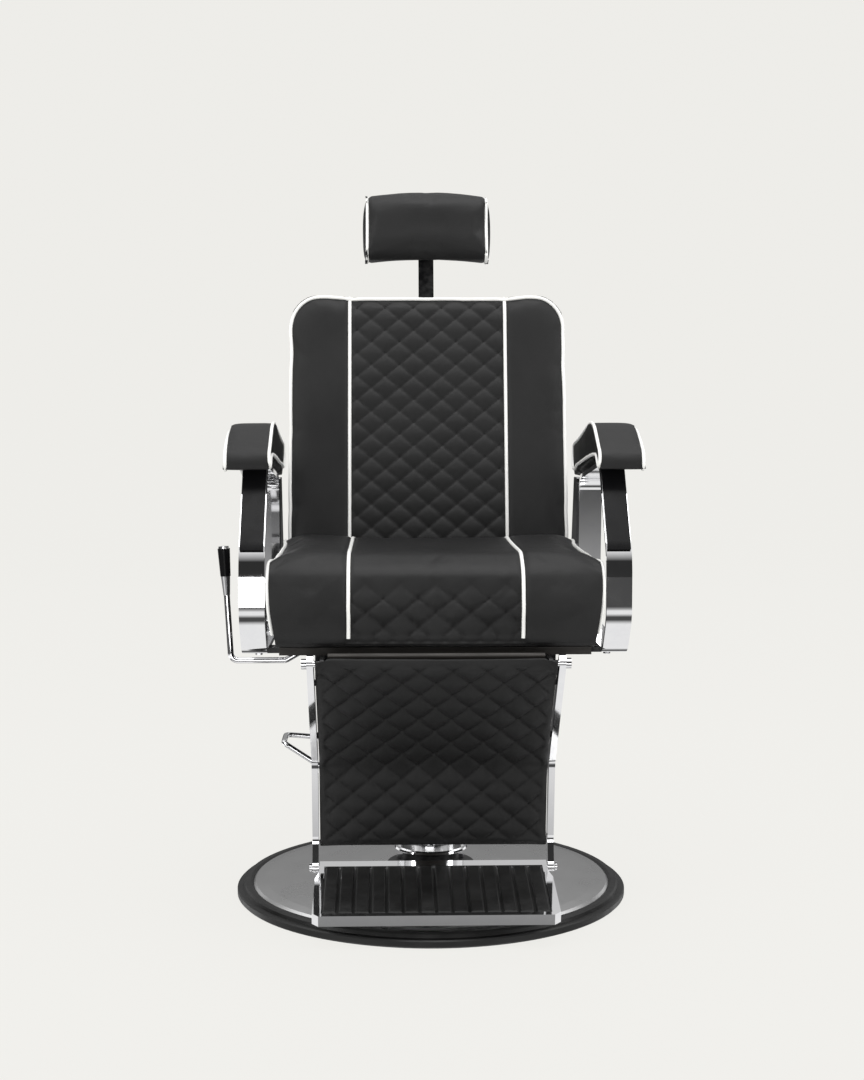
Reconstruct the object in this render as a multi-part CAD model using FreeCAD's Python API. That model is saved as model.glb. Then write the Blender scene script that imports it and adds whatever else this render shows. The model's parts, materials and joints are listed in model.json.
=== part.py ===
import FreeCAD, Part
import math
import os

# Hydraulic barber chair: millimetres, origin on the floor at the middle of the base,
# +Z up, the sitter faces -Y. "left" is the -X side, where both levers are.

# ---- driving dimensions ----
# base
base_radius = 330.0
ring_width = 27.0
ring_height = 22.0
dome_height = 44.0
disc_thick = 2.5
hub_radius = 74.0
# pump column
cylinder_radius = 48.0
cylinder_top = 300.0
ram_radius = 30.0
cover_radius = 58.0
cover_bottom = 70.0
cover_wall = 2.5
lift_travel = 160.0
chair_base_z = 362.0
# seat
seat_width = 516.0
seat_front = -300.0
seat_back = 133.0
seat_bottom = 457.0
seat_thick = 140.0
pan_thick = 12.0
# back
back_width = 502.0
back_height = 510.0
back_thick = 58.0
back_lean = 12.0
back_corner = 60.0
pivot_y = 185.0
pivot_z = 500.0
recline_range = 45.0
# arms
band_width = 39.0
band_thick = 8.0
pad_width = 75.0
arm_gap = 2.5
side_plate_thick = 13.0
# leg rest
calf_width = 368.0
calf_thick = 16.0
rail_thick = 10.0
leg_pivot_y = -315.0
leg_pivot_z = 436.0
# foot plate
foot_width = 380.0
foot_depth = 200.0
foot_thick = 17.0
foot_hinge_y = -150.0
foot_hinge_z = 78.0
foot_slope = 9.2
# headrest
head_width = 230.0
head_height = 128.0
head_thick = 70.0
head_centre = 658.0
post_width = 28.0
post_thick = 8.0
# levers
grip_length = 46.0
ferrule_length = 32.0
lever_top = 560.0
lever_y = -50.0
lever_z = 424.0
rod_radius = 5.0
pedal_radius = 4.5
# clearances
running = 0.05
gap = 0.5

V = FreeCAD.Vector
axis_x = V(1, 0, 0)
axis_y = V(0, 1, 0)
axis_z = V(0, 0, 1)


# ---- small helpers ----
def save(name, shape):
    os.makedirs("parts", exist_ok=True)
    shape.exportStep("parts/" + name + ".step")


def block(x0, x1, y0, y1, z0, z1):
    return Part.makeBox(x1 - x0, y1 - y0, z1 - z0, V(x0, y0, z0))


def rodX(radius, x0, x1, y, z):
    return Part.makeCylinder(radius, x1 - x0, V(x0, y, z), axis_x)


def rodY(radius, x, y0, y1, z):
    return Part.makeCylinder(radius, y1 - y0, V(x, y0, z), axis_y)


def rodZ(radius, x, y, z0, z1):
    return Part.makeCylinder(radius, z1 - z0, V(x, y, z0), axis_z)


def mirrored(shape):
    return shape.mirror(V(0, 0, 0), axis_x)


def turned(points):
    # solid of revolution about Z from (radius, height) points
    wire = Part.makePolygon([V(r, 0, z) for r, z in points + points[:1]])
    return Part.Face(wire).revolve(V(0, 0, 0), axis_z, 360)


def cornerWire(points, radii):
    # closed wire in the YZ plane with each corner rounded by its own radius
    edges = []
    joints = []
    count = len(points)
    for i in range(count):
        here = V(0, *points[i])
        before = (V(0, *points[i - 1]) - here).normalize()
        after = (V(0, *points[(i + 1) % count]) - here).normalize()
        half = before.getAngle(after) / 2
        reach = radii[i] / math.tan(half)
        middle = (before + after).normalize() * (radii[i] / math.sin(half) - radii[i])
        joints.append((here + before * reach, here + middle, here + after * reach))
    for i in range(count):
        start, middle, end = joints[i]
        if radii[i] > 0:
            edges.append(Part.Arc(start, middle, end).toShape())
        edges.append(Part.LineSegment(end, joints[(i + 1) % count][0]).toShape())
    return Part.Wire(edges)


def sidePlate(points, radii, x0, x1):
    face = Part.Face(cornerWire(points, radii))
    face.translate(V(x0, 0, 0))
    return face.extrude(V(x1 - x0, 0, 0))


def offsetPath(points, distance):
    # mitred copy of an open (y, z) path; positive distance is to the left of travel
    out = []
    for i, (y, z) in enumerate(points):
        ways = []
        if i > 0:
            ways.append((y - points[i - 1][0], z - points[i - 1][1]))
        if i < len(points) - 1:
            ways.append((points[i + 1][0] - y, points[i + 1][1] - z))
        normals = [(-b / math.hypot(a, b), a / math.hypot(a, b)) for a, b in ways]
        ny = sum(n[0] for n in normals)
        nz = sum(n[1] for n in normals)
        size = math.hypot(ny, nz)
        ny, nz = ny / size, nz / size
        stretch = distance / (ny * normals[0][0] + nz * normals[0][1])
        out.append((y + ny * stretch, z + nz * stretch))
    return out


def strip(points, low, high, x0, x1, end_radius):
    # flat strip that follows a (y, z) path between two offsets
    outline = offsetPath(points, low) + offsetPath(points, high)[::-1]
    bend = 30.0
    inner = [bend] * (len(points) - 2)
    radii = [end_radius] + inner + [end_radius, end_radius] + inner + [end_radius]
    return sidePlate(outline, radii, x0, x1)


def bentRod(points, radius, bend):
    # round rod along 3-D points, straight runs joined by tangent arcs
    edges = []
    last = points[0]
    for before, here, after in zip(points, points[1:], points[2:]):
        a = (before - here).normalize()
        b = (after - here).normalize()
        half = a.getAngle(b) / 2
        reach = bend / math.tan(half)
        middle = here + (a + b).normalize() * (bend / math.sin(half) - bend)
        edges.append(Part.LineSegment(last, here + a * reach).toShape())
        edges.append(Part.Arc(here + a * reach, middle, here + b * reach).toShape())
        last = here + b * reach
    edges.append(Part.LineSegment(last, points[-1]).toShape())
    way = points[1] - points[0]
    ring = Part.Wire([Part.makeCircle(radius, points[0], way)])
    return Part.Wire(edges).makePipeShell([ring], True, False)


def hexHead(across, x, y, z, height):
    corner = across / math.sqrt(3)
    ring = [V(x + corner * math.cos(math.radians(a)), y + corner * math.sin(math.radians(a)), z)
            for a in range(0, 420, 60)]
    return Part.Face(Part.makePolygon(ring)).extrude(V(0, 0, height))


def leaned(shape):
    # the back is drawn upright about its pivot, then leaned
    shape = shape.copy()
    shape.translate(V(0, pivot_y, pivot_z))
    shape.rotate(V(0, pivot_y, pivot_z), axis_x, -back_lean)
    return shape


# ---- base: heavy plate, steel disc, rubber ring, bolts ----
def makeBase():
    inner = base_radius - ring_width
    save("base_ring", turned([(inner + gap, 0), (base_radius - 3, 0), (base_radius, 3), (base_radius, 11),
                              (base_radius - 2, 13), (base_radius - 9, 14), (base_radius - 11, 19),
                              (base_radius - 14, ring_height), (inner + 5, ring_height), (inner + gap, 19)]))
    top = [(hub_radius + gap, dome_height), (0.42 * inner, dome_height - 3), (0.74 * inner, 32),
           (0.93 * inner, 26), (inner - 4, 23), (inner, 19), (inner, 4)]
    under = [(r - 0.3 * disc_thick, z - disc_thick) for r, z in top[:5]]
    under = [(hub_radius + gap, dome_height - disc_thick)] + under[1:]
    save("base_disc", turned(top + [(inner - disc_thick, 4), (inner - disc_thick, 19)] + under[::-1]))
    hub_top = dome_height + 2
    plate = turned([(0, 3), (inner - 6, 3), (inner - 6, 14), (0.7 * inner, 20), (hub_radius, 26),
                    (hub_radius, hub_top), (0, hub_top)])
    plate = plate.cut(rodZ(cylinder_radius + gap, 0, 0, 14, hub_top + 1))
    heads = []
    for i in range(6):
        turn = math.radians(60 * i + 30)
        reach = (cylinder_radius + hub_radius) / 2
        heads.append(hexHead(10, reach * math.cos(turn), reach * math.sin(turn), hub_top, 6))
    save("base_plate", plate)
    save("base_bolts", Part.makeCompound(heads))


# ---- column: fixed cylinder with a bush, sliding ram with its cover ----
def makeColumn():
    wall = 6.0
    bush_bottom = cylinder_top - 34
    tube = rodZ(cylinder_radius, 0, 0, 14, cylinder_top)
    tube = tube.cut(rodZ(cylinder_radius - wall, 0, 0, 20, cylinder_top + 1))
    save("pump_cylinder", tube)
    bush = rodZ(cylinder_radius - wall, 0, 0, bush_bottom, cylinder_top)
    save("cylinder_bush", bush.cut(rodZ(ram_radius + running, 0, 0, bush_bottom - 1, cylinder_top + 1)))
    head_bottom = chair_base_z - 17
    save("ram", rodZ(ram_radius, 0, 0, 60, head_bottom))
    inner = cover_radius - cover_wall
    cover = turned([(inner, cover_bottom), (cover_radius + 2.5, cover_bottom), (cover_radius + 4, cover_bottom + 3),
                    (cover_radius + 2.5, cover_bottom + 6), (cover_radius, cover_bottom + 8),
                    (cover_radius, head_bottom), (inner, head_bottom)])
    save("column_cover", cover)
    head = rodZ(cover_radius, 0, 0, head_bottom, chair_base_z - 2)
    save("ram_head", head.fuse(rodZ(24, 0, 0, chair_base_z - 3, chair_base_z + 7.5)).removeSplitter())
    washer = rodZ(44, 0, 0, chair_base_z - 2, chair_base_z - 0.3)
    save("thrust_washer", washer.cut(rodZ(24, 0, 0, chair_base_z - 3, chair_base_z + 1)))


# ---- chair frame, as wide as the leg rest that hangs from it ----
frame_half = calf_width / 2 + 1
plate_top = chair_base_z + 8
cross_top = plate_top + 40
rail_z0 = seat_bottom - pan_thick - 35 - 2
rail_z1 = rail_z0 + 35
pan_z0 = rail_z1
frame_inner = frame_half - 25
ear_x0 = frame_inner + 10
ear_x1 = ear_x0 + 6
barrel_z = pivot_z - 77
barrel_radius = 13.0


def makeFrame():
    plate = block(-112, 112, -120, 120, chair_base_z, plate_top)
    save("top_plate", plate.cut(rodZ(24 + running, 0, 0, chair_base_z - 1, plate_top + 1)))
    bolts = [hexHead(13, sx * 60, sy * 82.5, chair_base_z - 7, 7) for sx in (-1, 1) for sy in (-1, 1)]
    save("plate_bolts", Part.makeCompound(bolts))
    frame = None
    for side in (-1, 1):
        low, high = sorted((side * frame_inner, side * frame_half))
        rail = block(low, high, seat_front + 28, 138, rail_z0, rail_z1)
        ear_low, ear_high = sorted((side * ear_x0, side * ear_x1))
        ear = block(ear_low, ear_high, leg_pivot_y, seat_front + 34, leg_pivot_z - 8, rail_z1)
        ear = ear.fuse(rodX(8, ear_low, ear_high, leg_pivot_y, leg_pivot_z))
        hole = rodX(5 + running, ear_low - 1, ear_high + 1, leg_pivot_y, leg_pivot_z)
        frame = rail.fuse(ear.cut(hole)) if frame is None else frame.fuse(rail.fuse(ear.cut(hole)))
    for y in (-82.5, 82.5):
        frame = frame.fuse(block(-frame_half, frame_half, y - 12.5, y + 12.5, plate_top, rail_z0 + 2))
    hole = rodX(rod_radius + running, -frame_half - 1, -frame_inner + 1, lever_y, lever_z)
    frame = frame.cut(hole)
    for y in (-70, 50):
        frame = frame.fuse(block(-16, 16, y, y + 20, plate_top, barrel_z + barrel_radius + 3))
    frame = frame.cut(rodY(barrel_radius, 0, -71, 71, barrel_z))
    save("seat_frame", frame.removeSplitter())
    save("recline_cylinder", rodY(barrel_radius, 0, -69, 69, barrel_z).cut(rodY(6 + running, 0, -60, 70, barrel_z)))


# ---- seat ----
def makeSeat():
    half = seat_width / 2
    top = seat_bottom + seat_thick
    save("seat_pan", block(-half + 18, half - 18, seat_front + 28, seat_back - 8, pan_z0, pan_z0 + pan_thick))
    outline = [(seat_front, seat_bottom), (seat_back, seat_bottom), (seat_back, top), (seat_front + 8, top - 3)]
    save("seat_cushion", sidePlate(outline, [26, 8, 20, 38], -half, half))


# ---- arms: closed flat-bar bands, leg inserts, upholstered pads, side plates ----
band_inner = seat_width / 2 + arm_gap
band_outer = band_inner + band_width
band_bottom = rail_z0 + 32
# inner face of the side plates: clear of both the back and the seat cushion
plate_low = max(back_width / 2 + 10.6, seat_width / 2 + 3.6)
band_path = [(-190, 738), (-291, 592), (-291, 498), (-244, band_bottom), (58, band_bottom), (96, 506), (80, 706)]
band_corners = [34, 90, 60, 46, 44, 70, 30]


def bandSolid(outer_offset, inner_offset, x0, x1):
    wire = cornerWire(band_path, band_corners)
    outer = wire.makeOffset2D(outer_offset) if outer_offset else wire
    inner = wire.makeOffset2D(inner_offset) if inner_offset else wire
    face = Part.Face(outer).cut(Part.Face(inner))
    face.translate(V(x0, 0, 0))
    return face.extrude(V(x1 - x0, 0, 0))


def makeArms():
    pad_middle = (band_inner + band_outer) / 2 + 9.5
    pad_low = pad_middle - pad_width / 2
    bands = bandSolid(0, -band_thick, band_inner, band_outer)
    insert = bandSolid(4.5, 0, band_inner + 1.5, band_outer - 1.5)
    insert = insert.common(block(0, 400, -400, -178, 606, 745))
    pad_line = [(-243, 724), (-238, 752), (-142, 800), (128, 759), (132, 702), (84, 706.5), (-190, 745), (-222, 722)]
    pad = sidePlate(pad_line, [5, 22, 110, 18, 4, 4, 25, 5], pad_low, pad_low + pad_width)
    keep = Part.Face(cornerWire(band_path, band_corners).makeOffset2D(5.0))
    pad = pad.cut(keep.extrude(V(500, 0, 0)))
    pad = max(pad.Solids, key=lambda solid: solid.Volume)
    plate_line = [(108, rail_z0 + 8), (226, rail_z0 + 8), (222, 524), (172, 700), (122, 700), (134, 560), (108, 470)]
    plate = sidePlate(plate_line, [6, 30, 60, 8, 8, 60, 30], plate_low, plate_low + side_plate_thick)
    plate = plate.cut(rodX(8, plate_low - 1, plate_low + side_plate_thick + 1, pivot_y, pivot_z))
    spots = {"front": (-170, -130, band_outer), "middle": (0, 40, band_outer), "rear": (112, 136, plate_low)}
    for sign, side in ((1, "right"), (-1, "left")):
        place = (lambda s: s) if sign > 0 else mirrored
        save("arm_band_" + side, place(bands))
        save("arm_insert_" + side, place(insert))
        save("arm_pad_" + side, place(pad))
        save("side_plate_" + side, place(plate))
        brackets = []
        for y0, y1, reach in spots.values():
            top = band_bottom if reach == band_outer else band_bottom + 2
            brackets.append(block(frame_half, reach, y0, y1, band_bottom - 8, top))
        save("arm_bracket_" + side, place(Part.makeCompound(brackets)))
    bolts = []
    for sign in (-1, 1):
        middle = sign * (band_inner + band_outer) / 2
        for y in (-150, 20):
            bolts.append(hexHead(10, middle, y, band_bottom - 13, 5))
    save("arm_bolts", Part.makeCompound(bolts))
    pins = []
    for sign in (-1, 1):
        inside = back_width / 2 - 18
        pin = rodX(8, inside, plate_low, pivot_y, pivot_z)
        cap = rodX(14, plate_low + side_plate_thick, plate_low + side_plate_thick + 5, pivot_y, pivot_z)
        pin = pin.fuse(rodX(8, inside, plate_low + side_plate_thick + 1, pivot_y, pivot_z)).fuse(cap)
        pins.append(pin.removeSplitter() if sign > 0 else mirrored(pin.removeSplitter()))
    save("back_pivot_pins", Part.makeCompound(pins))


# ---- back, drawn upright about its pivot: y is depth, z is height up the back ----
board_y0 = 6.0
board_y1 = 18.0
guide_z0 = 426.0
guide_z1 = 500.0
post_y0 = 24.0
knob_z = 462.0


def roundedPanel(half, y0, y1, z0, z1, corner):
    panel = block(-half, half, y0, y1, z0, z1)
    upright = [e for e in panel.Edges if abs(e.Vertexes[0].Y - e.Vertexes[1].Y) > 1]
    return panel.makeFillet(corner, [e for e in upright if e.CenterOfMass.z > (z0 + z1) / 2])


def makeBack():
    half = back_width / 2
    cushion = roundedPanel(half, board_y0 - back_thick - 1, board_y0, 17, 17 + back_height, back_corner)
    save("back_cushion", leaned(cushion))
    board = roundedPanel(half - 12, board_y0, board_y1, 17, 5 + back_height, back_corner - 12)
    save("back_board", leaned(board))
    tube = rodX(12, -half + 2, half - 2, 0, 0)
    for sign in (-1, 1):
        low, high = sorted((sign * (half - 22), sign * (half + 1)))
        tube = tube.cut(rodX(8 + running, low, high, 0, 0))
    frame = tube
    for x in (-150, 150):
        foot = block(x - 15, x + 15, -2, board_y1 + 5, 5, 16.5)
        frame = frame.fuse(foot).fuse(block(x - 15, x + 15, board_y1, board_y1 + 5, 5, 380))
    # slotted ear that the recline rod's pin pushes, square to the floor at half travel
    ear = block(-5, 5, -14, 14, -98, 0)
    slot = block(-6, 6, -6.8, 6.8, -84, -76).fuse(rodX(6.8, -6, 6, 0, -84)).fuse(rodX(6.8, -6, 6, 0, -76))
    ear = ear.cut(slot)
    ear.rotate(V(0, 0, 0), axis_x, back_lean + recline_range / 2)
    save("back_frame", leaned(frame.fuse(ear).removeSplitter()))
    guide = block(-21, 21, board_y1, post_y0 + post_thick + 6, guide_z0, guide_z1)
    slide = block(-post_width / 2 - 0.3, post_width / 2 + 0.3, post_y0 - 0.3, post_y0 + post_thick + 0.3, 0, 999)
    screw = rodY(4.05, 0, post_y0 + post_thick, 60, knob_z)
    save("post_guide", leaned(guide.cut(slide).cut(screw)))
    shell = roundedPanel(half - 14, board_y1, board_y1 + 28, 24, back_height - 4, back_corner - 14)
    hollow = roundedPanel(half - 17, board_y1 - 1, board_y1 + 25, 27, back_height - 7, back_corner - 17)
    mouth = block(-post_width / 2 - 3, post_width / 2 + 3, board_y1 - 1, post_y0 + post_thick + 3, 400, 600)
    hole = rodY(7, 0, board_y1, 60, knob_z)
    cover = shell.cut(hollow).cut(mouth).cut(hole)
    for x in (-150, 150):
        cover = cover.cut(block(x - 16, x + 16, board_y1 - 1, board_y1 + 6, 20, 40))
    save("back_cover", leaned(cover))
    grip = rodY(15, 0, board_y1 + 31, board_y1 + 47, knob_z)
    for i in range(8):
        turn = math.radians(45 * i)
        grip = grip.cut(rodY(3.5, 16.5 * math.cos(turn), 0, 90, knob_z + 16.5 * math.sin(turn)))
    save("knob_grip", leaned(grip))
    save("knob_screw", leaned(rodY(4, 0, post_y0 + post_thick + 1, board_y1 + 31, knob_z)))


# ---- recline rod: slides in the cylinder and carries the pin of the ear ----
recline_radius = 77.0
recline_travel = 2 * recline_radius * math.tan(math.radians(recline_range / 2)) * 0.96


def makeReclineRod():
    end_y = pivot_y + recline_travel / 2
    rod = rodY(6, 0, -20 + recline_travel, end_y - 26, barrel_z)
    fork = block(-14, 14, end_y - 28, end_y - 20, barrel_z - 8, barrel_z + 8)
    for sign in (-1, 1):
        low, high = sorted((sign * 8, sign * 14))
        fork = fork.fuse(block(low, high, end_y - 28, end_y, barrel_z - 8, barrel_z + 8))
        fork = fork.fuse(rodX(8, low, high, end_y, barrel_z))
    save("recline_rod", rod.fuse(fork).removeSplitter())
    save("recline_pin", rodX(5, -8, 8, end_y, barrel_z))


# ---- headrest ----
lug_y = post_y0 + post_thick / 2
lug_z = head_centre - 3


def makeHeadrest():
    post = block(-post_width / 2, post_width / 2, post_y0, post_y0 + post_thick, 336, lug_z)
    post = post.fuse(rodX(12, -post_width / 2, post_width / 2, lug_y, lug_z))
    post = post.cut(rodX(5 + running, -20, 20, lug_y, lug_z))
    save("headrest_post", leaned(post.removeSplitter()))
    lugs = None
    for sign in (-1, 1):
        low, high = sorted((sign * (post_width / 2 + 0.4), sign * (post_width / 2 + 5.4)))
        lug = block(low, high, 10, lug_y, lug_z - 10, lug_z + 10).fuse(rodX(10, low, high, lug_y, lug_z))
        lugs = lug if lugs is None else lugs.fuse(lug)
    lugs = lugs.fuse(block(-60, 60, 7.5, 11, lug_z - 14, lug_z + 30)).removeSplitter()
    save("headrest_bracket", leaned(lugs.cut(rodX(5, -30, 30, lug_y, lug_z))))
    pin = rodX(5, -post_width / 2 - 6, post_width / 2 + 6, lug_y, lug_z)
    for sign in (-1, 1):
        low, high = sorted((sign * (post_width / 2 + 6), sign * (post_width / 2 + 10)))
        pin = pin.fuse(rodX(8, low, high, lug_y, lug_z))
    save("headrest_pin", leaned(pin.removeSplitter()))
    save("headrest_board", leaned(block(-96, 96, 0, 7.5, lug_z - 18, lug_z + 44)))
    low = head_centre - head_height / 2
    cushion = block(-head_width / 2, head_width / 2, -head_thick, 0, low, low + head_height)
    along = [e for e in cushion.Edges if abs(e.Vertexes[0].X - e.Vertexes[1].X) > 1]
    save("headrest_cushion", leaned(cushion.makeFillet(24, along)))


# ---- leg rest: bent side rails, cross bars, calf board and pad, pivot pins ----
rail_path = [(leg_pivot_y, leg_pivot_z), (-160, 256), (-139, 122), (foot_hinge_y, foot_hinge_z)]
rail_inner = calf_width / 2 + 2
rail_outer = rail_inner + rail_thick
calf_front = -14.0


def pathPoint(along, across):
    # a point beside the first run of the leg rest, from its pivot
    y, z = rail_path[1][0] - rail_path[0][0], rail_path[1][1] - rail_path[0][1]
    size = math.hypot(y, z)
    y, z = y / size, z / size
    return (leg_pivot_y + along * y - across * z, leg_pivot_z + along * z + across * y)


def makeLegRest():
    start = pathPoint(-9, 0)
    end = (foot_hinge_y, foot_hinge_z)
    rail = strip([start] + rail_path[1:], -8, 14, rail_inner, rail_outer, 7)
    rail = rail.fuse(rodX(9, rail_inner, rail_outer, *end)).removeSplitter()
    rail = rail.cut(rodX(5, rail_inner - 1, rail_outer + 1, leg_pivot_y, leg_pivot_z))
    rail = rail.cut(rodX(4 + running, rail_inner - 1, rail_outer + 1, *end))
    save("leg_rail_right", rail)
    save("leg_rail_left", mirrored(rail))
    pad_path = [pathPoint(-15, 0), rail_path[1], (-138, 113)]
    half = calf_width / 2
    notch_points = [pathPoint(-60, calf_front + 4.5), pathPoint(27, calf_front + 4.5),
                    pathPoint(27, 60), pathPoint(-60, 60)]
    notch = sidePlate(notch_points, [0.5, 4, 0.5, 0.5], ear_x0 - 6, half + 1)
    pad = strip(pad_path, calf_front, calf_front + calf_thick, -half, half, 7)
    board = strip(pad_path, calf_front + calf_thick, calf_front + calf_thick + 7, -half, half, 2)
    for name, solid in (("calf_pad", pad), ("calf_board", board)):
        save(name, solid.cut(notch).cut(mirrored(notch)))
    bars = []
    for along in (60, 190):
        spot = pathPoint(along, calf_front + calf_thick + 7 + 5)
        bars.append(rodX(5, -rail_inner, rail_inner, *spot))
    save("leg_crossbars", Part.makeCompound(bars))
    pins = []
    for sign in (-1, 1):
        pin = rodX(5, ear_x0 - 2, rail_outer + 3, leg_pivot_y, leg_pivot_z)
        pin = pin.fuse(rodX(8, rail_outer, rail_outer + 8, leg_pivot_y, leg_pivot_z)).removeSplitter()
        pins.append(pin if sign > 0 else mirrored(pin))
    save("leg_pivot_pins", Part.makeCompound(pins))


# ---- foot plate: tray with a ribbed mat, on two pins at its rear corners ----
def sloped(shape):
    # the plate is drawn level with its hinge at the origin, nose towards -Y
    shape = shape.copy()
    shape.translate(V(0, foot_hinge_y, foot_hinge_z))
    shape.rotate(V(0, foot_hinge_y, foot_hinge_z), axis_x, foot_slope)
    return shape


def makeFootPlate():
    half = foot_width / 2
    rear = rail_inner - 1.5
    nose = -foot_depth + 14
    outline = [V(-rear, 12, 0), V(-rear, -30, 0), V(-half, -52, 0), V(-half, nose + 10, 0), V(-half + 10, nose, 0),
               V(half - 10, nose, 0), V(half, nose + 10, 0), V(half, -52, 0), V(rear, -30, 0), V(rear, 12, 0)]
    face = Part.Face(Part.makePolygon(outline + outline[:1]))
    tray = face.extrude(V(0, 0, foot_thick))
    tray.translate(V(0, 0, 5.5 - foot_thick))
    recess = block(-rear + 8, rear - 8, nose + 10, -8, 1, 9)
    tray = tray.cut(recess).cut(rodX(4, -300, 300, 0, 0))
    save("foot_tray", sloped(tray))
    mat = block(-rear + 8, rear - 8, nose + 10, -8, 1, 4)
    count = 27
    pitch = (2 * rear - 16) / count
    for i in range(count):
        x = -rear + 8 + pitch * i
        mat = mat.fuse(block(x + pitch * 0.2, x + pitch * 0.8, nose + 12, -10, 4, 7))
    save("foot_mat", sloped(mat.removeSplitter()))
    pins = []
    for sign in (-1, 1):
        low, high = sorted((sign * (rear - 30), sign * (rail_outer + 1)))
        pin = rodX(4, low, high, foot_hinge_y, foot_hinge_z)
        low, high = sorted((sign * (rail_outer + 1), sign * (rail_outer + 5)))
        pins.append(pin.fuse(rodX(7, low, high, foot_hinge_y, foot_hinge_z)).removeSplitter())
    save("foot_pins", Part.makeCompound(pins))


# ---- recline lever on the left ----
def makeLever():
    points = [V(-frame_inner + 12, lever_y, lever_z), V(-frame_half - 21, lever_y, lever_z),
              V(-band_inner + 17.5, lever_y, lever_z - 21), V(-band_outer - 34.5, lever_y, lever_z - 21),
              V(-band_outer - 43.5, lever_y, lever_top)]
    way = (points[4] - points[3]).normalize()
    # the rod ends inside the grip, above a tapered ferrule
    grip_foot = points[4] - way * 16
    ferrule_foot = grip_foot - way * ferrule_length
    ferrule = Part.makeCone(5.4, 7.6, ferrule_length, ferrule_foot, way)
    save("lever_rod", bentRod(points, rod_radius, 12).fuse(ferrule).removeSplitter())
    grip = Part.makeCone(8.4, 10.2, grip_length, grip_foot, way)
    grip = grip.cut(Part.makeCylinder(rod_radius, 16, grip_foot, way))
    save("lever_grip", grip)
    save("lever_cap", Part.makeCylinder(8.6, 3.5, grip_foot + way * grip_length, way))
    collar = rodX(9, -frame_inner + 1, -frame_inner + 9, lever_y, lever_z)
    save("lever_collar", collar.cut(rodX(rod_radius, -frame_inner, -frame_inner + 10, lever_y, lever_z)))


# ---- pump pedal on the left: looped rod on a hub under the top plate ----
pedal_x = -84.0
pedal_z = 322.0


def makePedal():
    reach = -250.0
    points = [V(pedal_x, -20, pedal_z), V(-150, -20, 192), V(reach, -12, 256), V(reach, 62, 256),
              V(-150, 60, 248), V(pedal_x, 60, pedal_z)]
    loop = bentRod(points, pedal_radius, 11)
    hub = rodY(9, pedal_x, -30, 70, pedal_z)
    bore = rodY(6 + running, pedal_x, -31, 71, pedal_z)
    save("pump_pedal", loop.fuse(hub).cut(bore).removeSplitter())
    ears = []
    for y in (-38, 70.5):
        ear = block(pedal_x - 11, pedal_x + 11, y, y + 7.5, pedal_z, chair_base_z)
        ear = ear.fuse(rodY(11, pedal_x, y, y + 7.5, pedal_z)).cut(rodY(6, pedal_x, y - 1, y + 9, pedal_z))
        ears.append(ear.removeSplitter())
    save("pedal_ears", Part.makeCompound(ears))
    save("pedal_pin", rodY(6, pedal_x, -40, 80, pedal_z))


makeBase()
makeColumn()
makeFrame()
makeSeat()
makeArms()
makeBack()
makeReclineRod()
makeHeadrest()
makeLegRest()
makeFootPlate()
makeLever()
makePedal()
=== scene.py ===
import bpy
import bmesh
import json
import math
import numpy as np
from mathutils import Matrix, Vector
from mathutils.bvhtree import BVHTree


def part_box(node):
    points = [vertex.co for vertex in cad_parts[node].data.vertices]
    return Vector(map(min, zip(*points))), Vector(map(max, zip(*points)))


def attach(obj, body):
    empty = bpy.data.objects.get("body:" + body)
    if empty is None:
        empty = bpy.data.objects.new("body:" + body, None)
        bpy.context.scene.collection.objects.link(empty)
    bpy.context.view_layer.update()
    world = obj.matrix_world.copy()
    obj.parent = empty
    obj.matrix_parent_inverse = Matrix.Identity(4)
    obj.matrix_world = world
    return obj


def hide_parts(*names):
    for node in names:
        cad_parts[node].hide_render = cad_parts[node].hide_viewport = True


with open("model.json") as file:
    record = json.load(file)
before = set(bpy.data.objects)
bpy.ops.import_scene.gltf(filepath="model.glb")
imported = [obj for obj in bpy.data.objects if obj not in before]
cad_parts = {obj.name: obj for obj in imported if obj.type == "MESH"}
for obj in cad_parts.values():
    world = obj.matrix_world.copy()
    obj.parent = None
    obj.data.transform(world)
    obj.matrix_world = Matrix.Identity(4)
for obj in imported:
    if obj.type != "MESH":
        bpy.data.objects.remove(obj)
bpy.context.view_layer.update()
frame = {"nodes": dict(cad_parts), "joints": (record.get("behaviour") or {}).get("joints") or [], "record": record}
nodes = frame["nodes"]
joints = {joint["name"]: joint for joint in frame["joints"]}
print("frame loaded,", len(nodes), "nodes")


# ---- camera, floor and lights ----
camera = {"distance": 2.8, "height": 0.811, "down": 4.32, "round": -1.6, "lens": 55.3, "aim": 0.002}
studio = {"floor": (0.035, 0.035, 0.035), "glow": (0.871, 0.863, 0.831), "glowPower": 0.94, "worldPower": 1.0,
          "under": 0.85, "over": 0.85, "sides": 0.9, "behind": 0.27, "dim": 0.03, "waves": 11.5,
          "radius": 7.5, "curve": 2.5, "turns": 72}
lamps = {"topSoftbox": ((0.2, -0.6, 3.6), (0, 0, 0.5), (2.6, 2.2), 62),
         "leftSoftbox": ((-2.6, -1.6, 1.9), (0, 0, 0.7), (1.0, 2.0), 30),
         "rightSoftbox": ((2.8, -1.0, 1.6), (0, 0, 0.7), (0.8, 2.2), 24),
         "lowFill": ((-0.3, -3.3, 0.25), (0, -0.2, 0.35), (1.7, 0.5), 13)}
flags = {"flagLeft": ((-1.5, -3.3, 1.1), (0.9, 2.4)), "flagRight": ((1.6, -3.3, 1.1), (0.9, 2.4)),
         "flagSideLeft": ((-3.2, 0.6, 1.0), (1.0, 2.0)), "flagSideRight": ((3.2, 0.5, 1.0), (1.0, 2.0))}


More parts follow.
